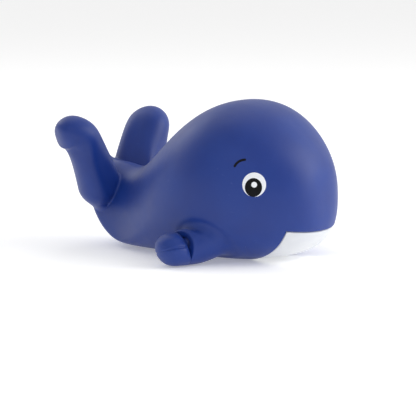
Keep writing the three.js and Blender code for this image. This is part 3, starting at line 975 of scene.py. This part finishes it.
def lobePoint(s, turn):
    # oval section square to a quadratic spine, rounded at root and tip, and shaped by bells in length and turn
    root = np.array([body["halfLength"] * fluke["station"] + forwards, fluke["rootAside"],
                     float(sectionSizes(np.array(fluke["station"]))[0]) + fluke["rootRise"]])
    bend, tip = root + fluke["bend"], root + fluke["tip"]
    s, turn = (v[..., None] for v in np.broadcast_arrays(s, turn))
    centre = root * (1 - s) ** 2 + 2 * bend * s * (1 - s) + tip * s ** 2
    ahead = unit((bend - root) * (1 - s) + (tip - bend) * s)
    twist = math.radians(fluke["twist"])
    broad = np.array([math.cos(twist), math.sin(twist), 0])
    across = unit(broad - (ahead @ broad)[..., None] * ahead)
    through = np.cross(ahead, across)
    size = np.sqrt(1 - np.clip(1 - s / fluke["rootRounding"], 0, None) ** 2)
    size = size * np.clip(1 - s ** fluke["tipRoundness"], 0, None) ** (1 / fluke["tipRoundness"])
    swelling = np.ones_like(s)
    for at, degrees, share, length, width in fluke["forms"]:
        swelling = swelling + share * bell(s - at, length) * bell(degreesFrom(turn, degrees), width)
    spoke = fluke["halfWidth"] * np.cos(turn) * across + fluke["halfThickness"] * np.sin(turn) * through
    return centre + size * swelling * spoke


def lobeGrid():
    # the lobe above the skin, a fillet down to it, wide outside and narrow in front, and a closed end under it
    turn = wholeTurn(fluke["columns"])
    zero = np.zeros(len(turn))
    cross = halve(zero + 0.02, zero + 0.9, lambda s: outside(lobePoint(s, turn)) > 0)
    foot = lobePoint(cross, turn)
    sweep, angle = coordinates(foot)
    normal = skinNormal(sweep, angle)
    centre = foot.mean(axis=0)
    radial = foot - centre
    outer = facing(turn, fluke["filletAt"]) ** fluke["filletPower"]
    size = fluke["filletSmall"] + (fluke["filletLarge"] - fluke["filletSmall"]) * outer
    step = 0.01
    ahead = lobePoint(cross + step, turn) - foot
    start = cross + step * size / np.linalg.norm(ahead, axis=-1)
    lobe = lobePoint(start + (1 - start) * np.sin(np.linspace(0, math.pi / 2, fluke["rows"]))[:, None], turn)
    lobe[-1] = lobe[-1].mean(axis=0)
    skirt = walk(sweep, angle, radial, size)
    edge = skinPoint(*skirt) - fluke["sunk"] * skinNormal(*skirt)
    before = walk(sweep, angle, radial, size - 0.3)
    inwards = unit(skinPoint(*before) - skinPoint(*skirt))
    handle = fluke["filletHandle"] * size[:, None]
    upwards = unit(lobe[1] - lobe[0])
    fillet = bezier(edge, edge + handle * inwards, lobe[0] - handle * upwards, lobe[0], fluke["filletRings"])
    under = edge - fluke["endDepth"] * skinNormal(*skirt)
    deepest = (centre - fluke["endMiddle"] * normal.mean(axis=0))[None, None] + 0 * edge[None]
    return np.concatenate([deepest, under[None], edge[None], fillet[:-1], lobe])


grid = lobeGrid()
makePiece("left_tail_fluke", [(grid, True, None)], "body", "blue_vinyl", "left_fluke")
makePiece("right_tail_fluke", [(mirrored(grid), True, None)], "body", "blue_vinyl", "right_fluke")

eye = {
    "station": 0.7295,
    "angle": 10.7,
    "whiteHalfWidth": 5.1,
    "whiteHalfHeight": 5.25,
    "whiteLift": 0.06,      # height of its ink over the cheek
    "pupilHalfWidth": 3.7,
    "pupilHalfHeight": 4.05,
    "pupilBack": 0.3,
    "pupilDrop": 1.2,
    "pupilLift": 0.1,
    "glintRadius": 1.25,
    "glintLift": 0.14,
    "browBack": 3.85,
    "browRise": 5.7,
    "browRadius": 5,
    "browStart": 91,
    "browEnd": 153,
    "browHalfWidth": 0.5,
    "browLift": 0.07,
    "browRows": 61,
    "browColumns": 9,
    "sunk": 0.2,            # how far each ink's edge goes into the cheek
    "rimShare": 0.6,        # of its height at the rim
    "rings": 20,
    "columns": 96,
}
eyeSweep, eyeAngle = sweepOf(eye["station"]), math.radians(eye["angle"])
eyeCentre, eyeOut = skinPoint(eyeSweep, eyeAngle), skinNormal(eyeSweep, eyeAngle)
eyeAhead = unit(np.cross(eyeOut, [0, 0, 1]))
eyeUp = np.cross(eyeAhead, eyeOut)


def inkGrid(forward, upward, lift):
    # flat eye coordinates laid on the cheek and lifted by the thickness of the ink
    start = np.full(forward.shape, float(eyeSweep)), np.full(forward.shape, eyeAngle)
    sweep, angle = seek(*start, eyeCentre, eyeAhead, eyeUp, forward, upward)
    return skinPoint(sweep, angle) + skinNormal(sweep, angle) * lift


def ovalInk(lift, halfWidth, halfHeight, ahead=0.0, rise=0.0):
    # rings from the middle to the rim, whose edge is turned down into the skin
    turn = wholeTurn(eye["columns"])
    share = np.concatenate([np.linspace(0, 0.96, eye["rings"]), [0.985, 1, 1]])[:, None]
    heights = np.concatenate([np.full(eye["rings"] + 1, lift), [lift * eye["rimShare"], -eye["sunk"]]])
    forward, upward = ahead + share * halfWidth * np.cos(turn), rise + share * halfHeight * np.sin(turn)
    back = inkGrid(ahead + 0 * turn, rise + 0 * turn, -eye["sunk"])
    return np.concatenate([inkGrid(forward, upward, heights[:, None, None]), back[None]])


def browInk(lift):
    # an arc of even width with round ends, closed under the skin
    count, rim, sunk = eye["browColumns"], lift * eye["rimShare"], -eye["sunk"]
    across = np.concatenate([[-1, -1], np.linspace(-0.93, 0.93, count), [1, 1]])
    heights = np.concatenate([[sunk, rim], np.full(count, lift), [rim, sunk]])
    start, end = math.radians(eye["browStart"]), math.radians(eye["browEnd"])
    half = eye["browHalfWidth"] / eye["browRadius"]
    t = np.linspace(-1, 1, eye["browRows"])[:, None]
    bow = (start + end) / 2 + t * ((end - start) / 2 + half)
    slack = np.clip((np.abs(t) * ((end - start) / 2 + half) - (end - start) / 2) / half, 0, 1)
    radius = eye["browRadius"] + eye["browHalfWidth"] * np.sqrt(1 - slack ** 2) * across
    forward, upward = -eye["browBack"] + radius * np.cos(bow), eye["browRise"] + radius * np.sin(bow)
    grid = inkGrid(forward, upward, (heights + 0 * bow)[..., None])
    return np.concatenate([grid, grid[:, :1]], axis=1)


white = ovalInk(eye["whiteLift"], eye["whiteHalfWidth"], eye["whiteHalfHeight"])
pupil = ovalInk(eye["pupilLift"], eye["pupilHalfWidth"], eye["pupilHalfHeight"],
                -eye["pupilBack"], -eye["pupilDrop"])
glint = ovalInk(eye["glintLift"], eye["glintRadius"], eye["glintRadius"])
inks = [
    ("eye_patch", "eye_white", "white_print", white),
    ("pupil_print", "pupil", "black_print", pupil),
    ("glint_print", "eye_glint", "white_print", glint),
    ("brow_print", "brow", "black_print", browInk(eye["browLift"])),
]
for label, node, slot, points in inks:
    for name, grid in (("left", points), ("right", mirrored(points))):
        makePiece(name + "_" + label, [(grid, label != "brow_print", None)], "body", slot, name + "_" + node)

camera = {"azimuth": 36.83, "elevation": 7.72, "distance": 1215, "right": -0.13, "up": 19.2, "lens": 233.7}
a, e = math.radians(camera["azimuth"]), math.radians(camera["elevation"])
right = Vector((math.cos(a), math.sin(a), 0))
up = Vector((-math.sin(a) * math.sin(e), math.cos(a) * math.sin(e), math.cos(e)))
back = Vector((math.sin(a) * math.cos(e), -math.cos(a) * math.cos(e), math.sin(e)))
target = (Vector((forwards, 0, 0)) + right * camera["right"] + up * camera["up"]) * mm
place = Matrix.Translation(target + back * camera["distance"] * mm)
viewer = bpy.data.objects.new("photoCamera", bpy.data.cameras.new("photoCamera"))
viewer.matrix_world = place @ Matrix((right, up, back)).transposed().to_4x4()
viewer.data.lens = camera["lens"]
viewer.data.sensor_width = 36
viewer.data.clip_end = 20
bpy.context.scene.collection.objects.link(viewer)
bpy.context.scene.camera = viewer

studio = {
    "behind": 0.8,          # brightness of the white sweep behind the toy
    "front": 0.4,           # and of the dim room in front of it
    "fade": (-0.35, 0.85),  # how far a direction points to the camera, from the one to the other
    "floor": 0.93,
    "floorGlow": 0.28,
    "floorRoughness": 0.9,
    "floorReach": 4,        # metres, as the boxes are
    "floorDrop": 0.0002,
    "aim": (0, 0, 0.03),    # the middle of the toy
    "boxes": {              # place and size in metres, power in watts
        "topBox": [(-0.2, 0.2, 0.93), (0.5, 0.5), 0.4],
        "leftBox": [(-0.8, 0.1, 0.55), (0.5, 0.5), 1.1],
        "rightBox": [(0.8, 0.38, 0.48), (0.8, 0.8), 5.6],
        "rimBox": [(0.25, 0.8, 0.5), (0.5, 0.5), 0.4],
        "frontBox": [(0.37, -0.8, 0.55), (0.6, 0.5), 0.7],
    },
}


def studioWorld():
    # white behind the toy, fading smoothly to a dim front by the direction's part along the camera's back
    world = bpy.data.worlds.new("studio")
    world.use_nodes = True
    tree = world.node_tree
    towards = addNode(tree, "VectorMath", n0=addNode(tree, "TexCoord").outputs["Generated"], n1=tuple(back))
    towards.operation = "DOT_PRODUCT"
    strength = spread(tree, towards.outputs["Value"], *studio["fade"], studio["behind"], studio["front"])
    tree.links.new(strength, tree.nodes["Background"].inputs["Strength"])
    tree.nodes["Background"].inputs["Color"].default_value = (1, 1, 1, 1)
    return world


bpy.context.scene.world = studioWorld()
bpy.context.scene.view_settings.view_transform = "Standard"
for name, (place, size, power) in studio["boxes"].items():
    lamp = bpy.data.lights.new(name, "AREA")
    lamp.shape = "RECTANGLE"
    lamp.size, lamp.size_y = size
    lamp.energy = power
    lit = bpy.data.objects.new(name, lamp)
    aimed = (Vector(place) - Vector(studio["aim"])).to_track_quat("Z", "Y")
    lit.matrix_world = Matrix.Translation(place) @ aimed.to_matrix().to_4x4()
    bpy.context.scene.collection.objects.link(lit)

reach, drop, grey = studio["floorReach"], studio["floorDrop"], studio["floor"]
corners = [(-reach, -reach, -drop), (reach, -reach, -drop), (reach, reach, -drop), (-reach, reach, -drop)]
floor = bpy.data.meshes.new("floor")
floor.from_pydata(corners, [], [(0, 1, 2, 3)])
paper = bpy.data.materials.new("paleFloor")
paper.use_nodes = True
paperShader = paper.node_tree.nodes["Principled BSDF"].inputs
paperShader["Base Color"].default_value = (grey, grey, grey, 1)
paperShader["Roughness"].default_value = studio["floorRoughness"]
paperShader["Emission Color"].default_value = (1, 1, 1, 1)
paperShader["Emission Strength"].default_value = studio["floorGlow"]
floor.materials.append(paper)
floorPiece = bpy.data.objects.new("floor", floor)
bpy.context.scene.collection.objects.link(floorPiece)
print("studio set")
